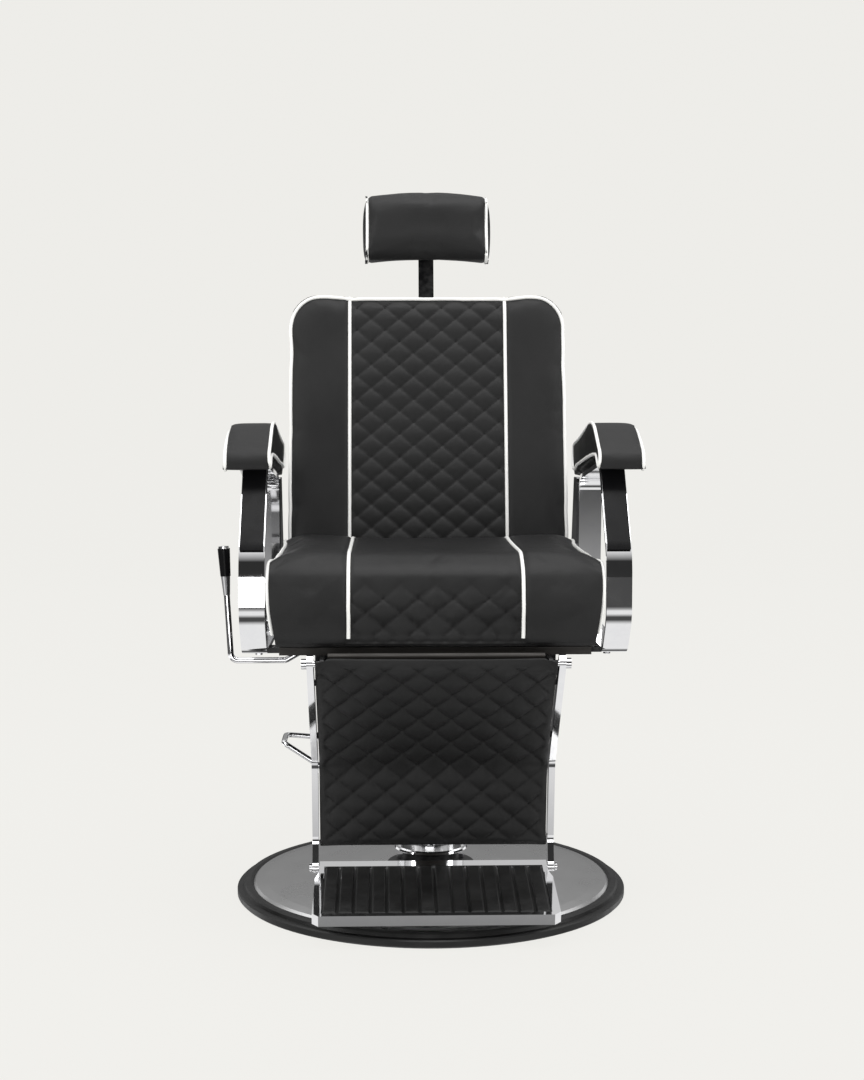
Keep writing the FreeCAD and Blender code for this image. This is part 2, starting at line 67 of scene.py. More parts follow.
def makeCamera():
    data = bpy.data.cameras.new("studioCamera")
    data.lens = camera["lens"]
    data.sensor_width = 36
    data.clip_end = 60
    holder = bpy.data.objects.new("studioCamera", data)
    bpy.context.scene.collection.objects.link(holder)
    turn = math.radians(camera["round"])
    down = math.radians(camera["down"])
    reach = camera["distance"]
    holder.location = (reach * math.sin(turn) + camera["aim"], -reach * math.cos(turn), camera["height"])
    look = Vector((-math.sin(turn) * math.cos(down), math.cos(turn) * math.cos(down), -math.sin(down)))
    holder.rotation_euler = look.to_track_quat("-Z", "Y").to_euler()
    bpy.context.scene.camera = holder


def areaLight(name, place, target, size, power):
    data = bpy.data.lights.new(name, "AREA")
    data.shape = "RECTANGLE"
    data.size, data.size_y = size
    data.energy = power
    lamp = bpy.data.objects.new(name, data)
    bpy.context.scene.collection.objects.link(lamp)
    lamp.location = place
    lamp.rotation_euler = (Vector(target) - Vector(place)).to_track_quat("-Z", "Y").to_euler()


def makeWorld():
    world = bpy.data.worlds.new("studioWorld")
    world.use_nodes = True
    tree = world.node_tree
    back = tree.nodes["Background"]
    split = tree.nodes.new("ShaderNodeSeparateXYZ")
    tree.links.new(tree.nodes.new("ShaderNodeTexCoord").outputs["Generated"], split.inputs[0])
    across = mathNode(tree, "ABSOLUTE", split.outputs["X"])
    waves = mathNode(tree, "SINE", mathNode(tree, "MULTIPLY", split.outputs["Z"], studio["waves"]))
    panels = mathNode(tree, "MULTIPLY", rangeNode(tree, across, 0.50, 0.56, 0.0, studio["sides"]),
                      rangeNode(tree, across, 0.80, 0.86, 1.0, 0.0))
    over = rangeNode(tree, split.outputs["Z"], 0.45, 0.75, studio["dim"], studio["over"])
    # bands of light and dark, and a pale wall behind the chair
    panels = mathNode(tree, "MULTIPLY", panels, rangeNode(tree, waves, -0.9, 0.9, 0.15, 1.0))
    under = mathNode(tree, "MULTIPLY", rangeNode(tree, waves, -0.75, 0.75, 0.04, studio["under"]),
                     rangeNode(tree, split.outputs["Z"], -0.10, -0.05, 1.0, 0.0))
    wall = mathNode(tree, "MULTIPLY", rangeNode(tree, split.outputs["Y"], 0.55, 0.8, 0.0, studio["behind"]),
                    rangeNode(tree, split.outputs["Z"], -0.02, 0.05, 0.0, 1.0))
    total = mathNode(tree, "ADD", mathNode(tree, "ADD", panels, over), mathNode(tree, "ADD", under, wall))
    tree.links.new(total, back.inputs["Color"])
    back.inputs["Strength"].default_value = studio["worldPower"]
    bpy.context.scene.world = world


def makeStudio():
    # one pale bowl all round: floor, a wide curve, wall and a high dome
    wide, curve, turns = studio["radius"], studio["curve"], studio["turns"]
    path = [(0.02, 0), (2, 0), (4, 0)]
    path += [(wide - curve + curve * math.sin(a), curve - curve * math.cos(a))
             for a in np.linspace(0, math.pi / 2, 14)]
    path += [(wide * math.cos(a), 4 + 4 * math.sin(a)) for a in np.linspace(0, 1.55, 10)]
    verts = [(rad * math.cos(a), rad * math.sin(a), z) for a in np.linspace(0, 2 * math.pi, turns, False)
             for rad, z in path]
    count = len(path)
    faces = [(j * count + i, j * count + i + 1, (j + 1) % turns * count + i + 1, (j + 1) % turns * count + i)
             for j in range(turns) for i in range(count - 1)]
    faces.append(tuple(j * count for j in range(turns)))
    mesh = bpy.data.meshes.new("studioSheet")
    mesh.from_pydata(verts, [], faces)
    for face in mesh.polygons:
        face.use_smooth = True
    sheet = bpy.data.objects.new("studioSheet", mesh)
    bpy.context.scene.collection.objects.link(sheet)
    paper = bpy.data.materials.new("studioPaper")
    paper.use_nodes = True
    shader = paper.node_tree.nodes["Principled BSDF"]
    shader.inputs["Base Color"].default_value = (*studio["floor"], 1)
    shader.inputs["Roughness"].default_value = 0.9
    shader.inputs["Specular IOR Level"].default_value = 0.1
    shader.inputs["Emission Color"].default_value = (*studio["glow"], 1)
    shader.inputs["Emission Strength"].default_value = studio["glowPower"]
    paper.cycles.emission_sampling = "NONE"
    mesh.materials.append(paper)
    # polished parts look past the sheet into the dim room and its bright panels
    sheet.visible_glossy = False
    makeWorld()
    bpy.context.scene.view_settings.view_transform = "Standard"
    for name, (place, target, size, power) in lamps.items():
        areaLight(name, place, target, size, power)
    # dark flags give the chrome its black bands
    dark = bpy.data.materials.new("flagCloth")
    dark.use_nodes = True
    cloth = dark.node_tree.nodes["Principled BSDF"]
    cloth.inputs["Base Color"].default_value = (0.01, 0.01, 0.01, 1)
    cloth.inputs["Roughness"].default_value = 1
    for name, (place, size) in flags.items():
        mesh = bpy.data.meshes.new(name)
        w, h = size[0] / 2, size[1] / 2
        mesh.from_pydata([(-w, -h, 0), (w, -h, 0), (w, h, 0), (-w, h, 0)], [], [(0, 1, 2, 3)])
        mesh.materials.append(dark)
        flag = bpy.data.objects.new(name, mesh)
        bpy.context.scene.collection.objects.link(flag)
        flag.location = place
        flag.rotation_euler = (Vector((0, 0, 0.6)) - Vector(place)).to_track_quat("-Z", "Y").to_euler()
        flag.visible_camera = False
        flag.visible_shadow = False
        flag.visible_diffuse = False


makeCamera()


# ---- shared shader effects ----
def newGroup(name, inputs, outputs):
    group = bpy.data.node_groups.new(name, "ShaderNodeTree")
    for label, kind, value in inputs:
        socket = group.interface.new_socket(name=label, in_out="INPUT", socket_type=kind)
        if value is not None:
            socket.default_value = value
    for label, kind in outputs:
        group.interface.new_socket(name=label, in_out="OUTPUT", socket_type=kind)
    return group, group.nodes.new("NodeGroupInput"), group.nodes.new("NodeGroupOutput")


def mathNode(tree, operation, first, second=None):
    node = tree.nodes.new("ShaderNodeMath")
    node.operation = operation
    for socket, value in zip(node.inputs, (first, second)):
        if value is None:
            continue
        if isinstance(value, (int, float)):
            socket.default_value = value
        else:
            tree.links.new(value, socket)
    return node.outputs[0]


def rangeNode(tree, value, low, high, toLow, toHigh):
    node = tree.nodes.new("ShaderNodeMapRange")
    tree.links.new(value, node.inputs["Value"])
    for label, number in (("From Min", low), ("From Max", high)):
        node.inputs[label].default_value = number
    for label, number in (("To Min", toLow), ("To Max", toHigh)):
        if isinstance(number, (int, float)):
            node.inputs[label].default_value = number
        else:
            tree.links.new(number, node.inputs[label])
    return node.outputs["Result"]


def noiseNode(tree, vector, scale, detail=4.0, rough=0.55):
    node = tree.nodes.new("ShaderNodeTexNoise")
    node.inputs["Detail"].default_value = detail
    node.inputs["Roughness"].default_value = rough
    tree.links.new(vector, node.inputs["Vector"])
    if isinstance(scale, (int, float)):
        node.inputs["Scale"].default_value = scale
    else:
        tree.links.new(scale, node.inputs["Scale"])
    return node.outputs["Fac"]


def grainGroup():
    # pebbled hide: cell walls, fine pores and slow clouds of wear
    group, start, end = newGroup("hideGrain", [("Scale", "NodeSocketFloat", 620.0)],
                                 [("Height", "NodeSocketFloat"), ("Cloud", "NodeSocketFloat")])
    coords = group.nodes.new("ShaderNodeTexCoord").outputs["Object"]
    cells = group.nodes.new("ShaderNodeTexVoronoi")
    cells.feature = "DISTANCE_TO_EDGE"
    group.links.new(coords, cells.inputs["Vector"])
    group.links.new(start.outputs["Scale"], cells.inputs["Scale"])
    walls = rangeNode(group, cells.outputs["Distance"], 0.0, 0.22, 0.0, 1.0)
    fine = noiseNode(group, coords, mathNode(group, "MULTIPLY", start.outputs["Scale"], 2.1))
    height = mathNode(group, "ADD", walls, mathNode(group, "MULTIPLY", fine, 0.5))
    group.links.new(height, end.inputs["Height"])
    group.links.new(noiseNode(group, coords, 9.0, 5.0), end.inputs["Cloud"])
    return group


def wearGroup():
    # 1 on worn convex edges, broken up by noise
    group, start, end = newGroup("edgeWear", [("Amount", "NodeSocketFloat", 0.5)],
                                 [("Mask", "NodeSocketFloat")])
    coords = group.nodes.new("ShaderNodeTexCoord").outputs["Object"]
    shape = group.nodes.new("ShaderNodeNewGeometry").outputs["Pointiness"]
    edge = rangeNode(group, shape, 0.52, 0.62, 0.0, 1.0)
    patch = rangeNode(group, noiseNode(group, coords, 55.0), 0.42, 0.62, 0.0, 1.0)
    mask = mathNode(group, "MULTIPLY", mathNode(group, "MULTIPLY", edge, patch), start.outputs["Amount"])
    group.links.new(mask, end.inputs["Mask"])
    return group


def smudgeGroup():
    # faint dust and wiping marks that change gloss
    group, start, end = newGroup("wipeMarks", [("Scale", "NodeSocketFloat", 12.0)],
                                 [("Mask", "NodeSocketFloat")])
    coords = group.nodes.new("ShaderNodeTexCoord").outputs["Object"]
    broad = noiseNode(group, coords, start.outputs["Scale"], 6.0, 0.65)
    group.links.new(rangeNode(group, broad, 0.4, 0.7, 0.0, 1.0), end.inputs["Mask"])
    return group


hideGrain = grainGroup()
edgeWear = wearGroup()
wipeMarks = smudgeGroup()


# ---- materials ----
def newMaterial(name, metal, specular=0.5):
    material = bpy.data.materials.new(name)
    material.use_nodes = True
    shader = material.node_tree.nodes["Principled BSDF"]
    shader.inputs["Metallic"].default_value = metal
    shader.inputs["Specular IOR Level"].default_value = specular
    return material, material.node_tree, shader


def placeGroup(tree, group, **values):
    node = tree.nodes.new("ShaderNodeGroup")
    node.node_tree = group
    for label, value in values.items():
        node.inputs[label].default_value = value
    return node


def mixColour(tree, factor, first, second):
    node = tree.nodes.new("ShaderNodeMix")
    node.data_type = "RGBA"
    tree.links.new(factor, node.inputs["Factor"])
    node.inputs["A"].default_value = (*first, 1)
    node.inputs["B"].default_value = (*second, 1)
    return node.outputs["Result"]


def addBump(tree, shader, height, strength, distance):
    bump = tree.nodes.new("ShaderNodeBump")
    bump.inputs["Strength"].default_value = strength
    bump.inputs["Distance"].default_value = distance
    tree.links.new(height, bump.inputs["Height"])
    tree.links.new(bump.outputs["Normal"], shader.inputs["Normal"])


def hideMaterial(name, dark, light, gloss, scale, bump):
    material, tree, shader = newMaterial(name, 0.0, specular=0.2)
    grain = placeGroup(tree, hideGrain, Scale=scale)
    tree.links.new(mixColour(tree, grain.outputs["Cloud"], dark, light), shader.inputs["Base Color"])
    rough = mathNode(tree, "ADD", rangeNode(tree, grain.outputs["Cloud"], 0.3, 0.7, gloss[0], gloss[1]),
                     rangeNode(tree, grain.outputs["Height"], 0.2, 1.4, 0.05, -0.02))
    tree.links.new(rough, shader.inputs["Roughness"])
    addBump(tree, shader, grain.outputs["Height"], bump, 0.0004)
    return material


def metalMaterial(name, colour, worn, gloss, wear, marks=14.0, metal=1.0, shine=0.5):
    material, tree, shader = newMaterial(name, metal, specular=shine)
    edges = placeGroup(tree, edgeWear, Amount=wear)
    wiped = placeGroup(tree, wipeMarks, Scale=marks)
    tree.links.new(mixColour(tree, edges.outputs["Mask"], colour, worn), shader.inputs["Base Color"])
    rough = rangeNode(tree, wiped.outputs["Mask"], 0.0, 1.0, gloss[0], gloss[1])
    tree.links.new(rough, shader.inputs["Roughness"])
    return material, tree, shader


def discMaterial():
    # turned sheet: fine rings round the column, seen as fine streaks in the gloss
    material, tree, shader = metalMaterial("turnedSteel", (0.60, 0.60, 0.60), (0.75, 0.75, 0.75),
                                           (0.27, 0.35), 0.06)
    coords = tree.nodes.new("ShaderNodeTexCoord").outputs["Object"]
    split = tree.nodes.new("ShaderNodeSeparateXYZ")
    tree.links.new(coords, split.inputs[0])
    square = mathNode(tree, "ADD", mathNode(tree, "POWER", split.outputs["X"], 2.0),
                      mathNode(tree, "POWER", split.outputs["Y"], 2.0))
    reach = mathNode(tree, "SQRT", square)
    joined = tree.nodes.new("ShaderNodeCombineXYZ")
    tree.links.new(reach, joined.inputs["X"])
    rings = noiseNode(tree, joined.outputs[0], 900.0, 3.0)
    addBump(tree, shader, rings, 0.25, 0.0002)
    return material


def rubberMaterial(name, tone, gloss):
    material, tree, shader = newMaterial(name, 0.0, specular=0.4)
    wiped = placeGroup(tree, wipeMarks, Scale=22.0)
    mask = wiped.outputs["Mask"]
    tree.links.new(mixColour(tree, mask, (tone,) * 3, (tone * 1.9,) * 3), shader.inputs["Base Color"])
    tree.links.new(rangeNode(tree, mask, 0.0, 1.0, gloss[0], gloss[1]), shader.inputs["Roughness"])
    coords = tree.nodes.new("ShaderNodeTexCoord").outputs["Object"]
    addBump(tree, shader, noiseNode(tree, coords, 900.0), 0.25, 0.0002)
    return material


def plyMaterial():
    material, tree, shader = newMaterial("plywood", 0.0)
    coords = tree.nodes.new("ShaderNodeTexCoord").outputs["Object"]
    stretch = tree.nodes.new("ShaderNodeMapping")
    stretch.inputs["Scale"].default_value = (6, 90, 90)
    tree.links.new(coords, stretch.inputs["Vector"])
    fibre = noiseNode(tree, stretch.outputs["Vector"], 4.0, 6.0)
    stain = mixColour(tree, fibre, (0.010, 0.009, 0.008), (0.035, 0.030, 0.026))
    tree.links.new(stain, shader.inputs["Base Color"])
    tree.links.new(rangeNode(tree, fibre, 0.3, 0.7, 0.75, 0.55), shader.inputs["Roughness"])
    addBump(tree, shader, fibre, 0.3, 0.0003)
    return material


def grey(tone, blue=0.0):
    return (tone, tone, tone + blue)


blackHide = hideMaterial("blackHide", grey(0.0115, 0.0003), grey(0.0215, 0.0005), (0.36, 0.45), 700.0, 0.35)
whitePiping = hideMaterial("whitePiping", grey(0.80, -0.01), grey(0.88, -0.01), (0.28, 0.38), 1100.0, 0.1)
threadBlack = hideMaterial("threadBlack", grey(0.01), grey(0.03), (0.5, 0.6), 2500.0, 0.4)
mirrorChrome = metalMaterial("mirrorChrome", grey(0.86, 0.01), grey(0.92), (0.035, 0.075), 0.4)[0]
groundSteel = metalMaterial("groundSteel", grey(0.72, 0.02), grey(0.85), (0.10, 0.18), 0.4)[0]
zincSteel = metalMaterial("zincSteel", grey(0.52, 0.02), grey(0.75), (0.28, 0.42), 0.6)[0]
bronzeBush = metalMaterial("bronzeBush", (0.50, 0.32, 0.14), (0.75, 0.55, 0.3), (0.3, 0.45), 0.6)[0]
blackEnamel = metalMaterial("blackEnamel", grey(0.008, 0.001), grey(0.10), (0.30, 0.42), 0.3, 20.0, 0.0,
                            0.2)[0]
blackPlastic = metalMaterial("blackPlastic", grey(0.004, 0.0005), grey(0.012), (0.26, 0.36), 0.1, 30.0, 0.0,
                             0.12)[0]
nylonWhite = metalMaterial("nylonWhite", grey(0.72, -0.04), grey(0.8, -0.02), (0.4, 0.5), 0.2, 30.0, 0.0)[0]
turnedSteel = discMaterial()
floorRubber = rubberMaterial("floorRubber", 0.006, (0.36, 0.52))
matRubber = rubberMaterial("matRubber", 0.008, (0.34, 0.5))
plywood = plyMaterial()
slotMaterials = {"rubber": floorRubber, "brushed_disc": turnedSteel, "cast_plate": blackEnamel,
                 "zinc": zincSteel, "black_steel": blackEnamel, "chrome": mirrorChrome,
                 "ground_steel": groundSteel, "bronze": bronzeBush, "nylon": nylonWhite, "plywood": plywood,
                 "upholstery": blackHide, "black_plastic": blackPlastic}


def dressNodes():
    slots = {part["node"]: part["material_slot"] for part in frame["record"]["subparts"]}
    for name, node in nodes.items():
        node.data.materials.clear()
        node.data.materials.append(slotMaterials[slots[name]])
    nodes["foot_mat"].data.materials[0] = matRubber


dressNodes()
makeStudio()
print("studio and materials made")


# ---- upholstery tools ----
rng = np.random.default_rng(7)
lean = math.radians(12)
pivot = Vector(joints["recline"]["pos_m"])
unmoved = Matrix.Identity(4)
backToWorld = Matrix.Translation(pivot) @ Matrix.Rotation(-lean, 4, "X")
worldToBack = backToWorld.inverted()


def linkPiece(name, mesh):
    piece = bpy.data.objects.new(name, mesh)
    bpy.context.scene.collection.objects.link(piece)
    return piece


def readPoints(mesh):
    flat = np.empty(len(mesh.vertices) * 3, np.float32)
    mesh.vertices.foreach_get("co", flat)
    return flat.reshape(-1, 3).astype(float)


def writePoints(mesh, points):
    mesh.vertices.foreach_set("co", points.astype(np.float32).ravel())
    mesh.update()


def readNormals(mesh):
    flat = np.empty(len(mesh.vertices) * 3, np.float32)
    mesh.vertex_normals.foreach_get("vector", flat)
    return flat.reshape(-1, 3).astype(float)


def applyModifiers(piece):
    scene = bpy.context.evaluated_depsgraph_get()
    mesh = bpy.data.meshes.new_from_object(piece.evaluated_get(scene))
    old = piece.data
    piece.modifiers.clear()
    piece.data = mesh
    bpy.data.meshes.remove(old)


def evenCover(piece, voxel, soften, shrink):
    remesh = piece.modifiers.new("evenMesh", "REMESH")
    remesh.mode = "VOXEL"
    remesh.voxel_size = voxel
    smooth = piece.modifiers.new("soften", "SMOOTH")
    smooth.iterations = soften
    applyModifiers(piece)
    writePoints(piece.data, readPoints(piece.data) - readNormals(piece.data) * shrink)


def startCushion(name, node, toLocal, voxel, shrink, soften=4):
    mesh = nodes[node].data.copy()
    mesh.materials.clear()
    mesh.transform(toLocal)
    shell = bmesh.new()
    shell.from_mesh(mesh)
    bmesh.ops.remove_doubles(shell, verts=shell.verts, dist=0.00002)
    shell.to_mesh(mesh)
    shell.free()
    piece = linkPiece(name, mesh)
    evenCover(piece, voxel, soften, shrink)
    return piece


def puff(piece, cap, pressure=4.0, frames=20, pinned=None, share=(1, 1, 1)):
    # foam pushes the cover out; tanh holds every point within the cap
    before = readPoints(piece.data)
    cloth = piece.modifiers.new("stuffing", "CLOTH")
    settings = cloth.settings
    settings.quality = 5
    settings.mass = 0.3
    settings.use_pressure = True
    settings.uniform_pressure_force = pressure
    settings.effector_weights.gravity = 0
    settings.tension_stiffness = 12
    settings.bending_stiffness = 0.6
    cloth.collision_settings.use_collision = False
    cloth.point_cache.frame_start = 1
    cloth.point_cache.frame_end = frames
    for step in range(1, frames + 1):
        bpy.context.scene.frame_set(step)
    applyModifiers(piece)
    bpy.context.scene.frame_set(1)
    moved = readPoints(piece.data) - before
    size = np.linalg.norm(moved, axis=1, keepdims=True) + 1e-9
    after = before + moved / size * cap * np.tanh(size / cap) * np.array(share)
    if pinned is not None:
        hold = pinned(before)[:, None]
        after = before * hold + after * (1 - hold)
    writePoints(piece.data, after)
    finer = piece.modifiers.new("finer", "SUBSURF")
    finer.levels = finer.render_levels = 1
    applyModifiers(piece)


def fitBox(piece, low, high):
    # stretched evenly along each axis until the cover fills its box
    points = readPoints(piece.data)
    least, most = points.min(0), points.max(0)
    low, high = np.array(low), np.array(high)
    writePoints(piece.data, low + (points - least) / (most - least) * (high - low))


def alongProfile(points, profile):
    # how far along a (y, z) profile each point lies, and how far from it
    flat = points[:, 1:3]
    best = np.full(len(flat), 1e9)
    along = np.zeros(len(flat))
    run = 0.0
    for (y0, z0), (y1, z1) in zip(profile, profile[1:]):
        start = np.array((y0, z0))
        way = np.array((y1 - y0, z1 - z0))
        length = np.linalg.norm(way)
        share = np.clip((flat - start) @ way / length ** 2, 0, 1)
        gapTo = np.linalg.norm(flat - start - share[:, None] * way, axis=1)
        nearer = gapTo < best
        along[nearer] = run + share[nearer] * length
        best[nearer] = gapTo[nearer]
        run += length
    return along, best


def fade(values, low, high):
    share = np.clip((values - low) / (high - low), 0, 1)
    return share * share * (3 - 2 * share)


def window(values, low, high, soft):
    return fade(values, low - soft, low + soft) * (1 - fade(values, high - soft, high + soft))


def quiltHeight(across, along, quilt):
    a = across / quilt["wide"] + along / quilt["tall"]
    b = across / quilt["wide"] - along / quilt["tall"]
    body = np.abs(np.sin(np.pi * a) * np.sin(np.pi * b)) ** 0.4
    tuft = np.exp(-(np.sin(np.pi * a) ** 2 + np.sin(np.pi * b) ** 2) / 0.03)
    return (body - 1) * quilt["deep"] - tuft * quilt["tuft"]


def groove(distance, width, deep):
    return -deep * np.exp(-(distance / width) ** 2)


def unevenness(points, size):
    # slow hand-made waves, under a millimetre
    total = np.zeros(len(points))
    for _ in range(7):
        way = rng.normal(size=3)
        way *= rng.uniform(14, 42) / np.linalg.norm(way)
        total += np.sin(points @ way + rng.uniform(0, 6.28))
    return total / 7 * size


def pushOut(piece, amount):
    writePoints(piece.data, readPoints(piece.data) + readNormals(piece.data) * amount[:, None])


def surfaceOf(piece):
    mesh = piece.data
    return BVHTree.FromPolygons([v.co for v in mesh.vertices], [p.vertices for p in mesh.polygons])


def sectionLoop(piece, place, normal, keep=None):
    # ordered points where a plane cuts the cover; keep() picks a stretch of them
    shell = bmesh.new()
    shell.from_mesh(piece.data)
    bmesh.ops.bisect_plane(shell, geom=shell.verts[:] + shell.edges[:] + shell.faces[:], plane_co=place,
                           plane_no=normal, clear_inner=True, clear_outer=True)
    verts = [v for v in shell.verts if keep is None or keep(v.co)]
    kept = set(verts)
    near = {v: [e.other_vert(v) for e in v.link_edges if e.other_vert(v) in kept] for v in verts}
    runs = []
    seen = set()
    for first in sorted(verts, key=lambda v: (len(near[v]), round(v.co.x + v.co.y + v.co.z, 6))):
        if first in seen:
            continue
        run = [first]
        seen.add(first)
        while True:
            after = [v for v in near[run[-1]] if v not in seen]
            if not after:
                break
            run.append(after[0])
            seen.add(after[0])
        runs.append([v.co.copy() for v in run])
    shell.free()
    return max(runs, key=len)


def edgeRun(surface, inner, outward):
    # the rolled edge of a cushion, found from outside along a slanted way
    run = []
    for spot, way in zip(inner, outward):
        way = Vector(way).normalized()
        hit = surface.ray_cast(Vector(spot) + way * 0.08, -way, 0.2)
        if hit[0] is not None:
            run.append(hit[0])
    return run


def evenRun(points, step, closed, passes=3):
    raw = np.array([tuple(p) for p in points])
    if closed:
        raw = np.vstack([raw, raw[:1]])
    gone = np.concatenate([[0], np.cumsum(np.linalg.norm(np.diff(raw, axis=0), axis=1))])
    count = max(8, int(gone[-1] / step))
    marks = np.linspace(0, gone[-1], count + 1)
    even = np.stack([np.interp(marks, gone, raw[:, i]) for i in range(3)], 1)
    if closed:
        even = even[:-1]
    for _ in range(passes):
        before, after = np.roll(even, 1, 0), np.roll(even, -1, 0)
        blended = even * 0.5 + (before + after) * 0.25
        if not closed:
            blended[0], blended[-1] = even[0], even[-1]
        even = blended
    return even


def piping(name, points, radius, closed, body, toWorld, surface=None, lift=0.45):
    # a bead of cord in its own skin, sat half into the seam
    if surface is not None:
        raised = []
        for p in points:
            spot, normal, _, _ = surface.find_nearest(Vector(p))
            raised.append(Vector(spot) + normal * radius * lift)
        points = evenRun(raised, 0.006, closed, 2)
    curve = bpy.data.curves.new(name, "CURVE")
    curve.dimensions = "3D"
    curve.bevel_depth = radius
    curve.bevel_resolution = 3
    curve.use_fill_caps = True
    spline = curve.splines.new("NURBS")
    spline.points.add(len(points) - 1)
    for bead, p in zip(spline.points, points):
        bead.co = (*(toWorld @ Vector(p)), 1)
    spline.use_cyclic_u = closed
    spline.order_u = 3
    spline.use_endpoint_u = not closed
    spline.resolution_u = 2
    curve.materials.append(whitePiping)
    piece = linkPiece(name, curve)
    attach(piece, body)


def stitches(name, runs, body, toWorld, size=(0.0030, 0.00042)):
    # short threads laid along the seam, each one a small six-sided bead
    verts, faces = [], []
    for run in runs:
        run = [(Vector(p), Vector(n)) for p, n in run]
        for (p, n), (q, _) in zip(run[::2], run[1::2]):
            way = q - p
            if way.length < 1e-5:
                continue
            way.normalize()
            side = way.cross(n).normalized()
            up = side.cross(way)
            base = len(verts)
            half = size[0] / 2
            middle = (p + q) / 2 + n * size[1] * 0.5
            for t, fat in ((-half, 0.35), (-half * 0.6, 1.0), (half * 0.6, 1.0), (half, 0.35)):
                for a in (0, 60, 120, 180, 240, 300):
                    turn = math.radians(a)
                    ring = side * math.cos(turn) + up * math.sin(turn)
                    verts.append(toWorld @ (middle + way * t + ring * size[1] * fat))
            for k in range(3):
                for j in range(6):
                    i = (j + 1) % 6
                    ring = base + 6 * k
                    faces.append((ring + j, ring + i, ring + 6 + i, ring + 6 + j))
            faces.append(tuple(base + j for j in range(5, -1, -1)))
            faces.append(tuple(base + 18 + j for j in range(6)))
    mesh = bpy.data.meshes.new(name)
    mesh.from_pydata(verts, [], faces)
    mesh.materials.append(threadBlack)
    for face in mesh.polygons:
        face.use_smooth = True
    piece = linkPiece(name, mesh)
    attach(piece, body)


def quiltRuns(surface, profile, quilt, half, low, high, stops=None, pitch=0.0021, near=0.004):
    # the sewn lines of the diamonds, dropped onto the cover from outside
    if stops is None:
        lengths = [math.dist(a, b) for a, b in zip(profile, profile[1:])]
        stops = np.concatenate([[0], np.cumsum(lengths)])
    ys, zs = np.array(profile).T
    runs = []
    length = math.hypot(quilt["wide"], quilt["tall"])
    most = int((half / quilt["wide"] + high / quilt["tall"]) + 2)
    for sign in (1, -1):
        for line in range(-most, most + 1):
            run = []
            for t in np.arange(-most, most, 2 * pitch / length):
                a, b = (line, t) if sign > 0 else (t, line)
                across = quilt["wide"] * (a + b) / 2
                along = quilt["tall"] * (a - b) / 2
                if abs(across) > half or not low < along < high:
                    continue
                y = np.interp(along, stops, ys)
                z = np.interp(along, stops, zs)
                y2, z2 = np.interp(along + near, stops, ys), np.interp(along + near, stops, zs)
                y1, z1 = np.interp(along - near, stops, ys), np.interp(along - near, stops, zs)
                out = Vector((0, -(z2 - z1), y2 - y1)).normalized() * quilt["side"]
                hit = surface.ray_cast(Vector((across, y, z)) + out * 0.05, -out, 0.1)
                if hit[0] is not None:
                    run.append((hit[0], hit[1]))
            if len(run) > 3:
                runs.append(run)
    return runs


def finishCushion(piece, node, body, toWorld):
    piece.data.transform(toWorld)
    for face in piece.data.polygons:
        face.use_smooth = True
    piece.data.materials.clear()
    piece.data.materials.append(blackHide)
    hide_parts(node)
    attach(piece, body)
    print(node, "covered,", len(piece.data.polygons), "faces")


# ---- seat ----
seat = {"panel": 0.134, "cap": 0.011, "shrink": 0.006, "voxel": 0.0058, "piping": 0.0030, "quiltFrom": 0.465,
        "narrows": 0.012, "edgeIn": 0.014, "rowStep": 0.006,
        "quilt": {"wide": 0.0535, "tall": 0.045, "deep": 0.0068, "tuft": 0.0032, "side": -1}}


def seatPanelHalf(points):
    # the middle panel narrows a little where it meets the back
    return seat["panel"] - seat["narrows"] * fade(points[:, 1], 0.06, 0.13)


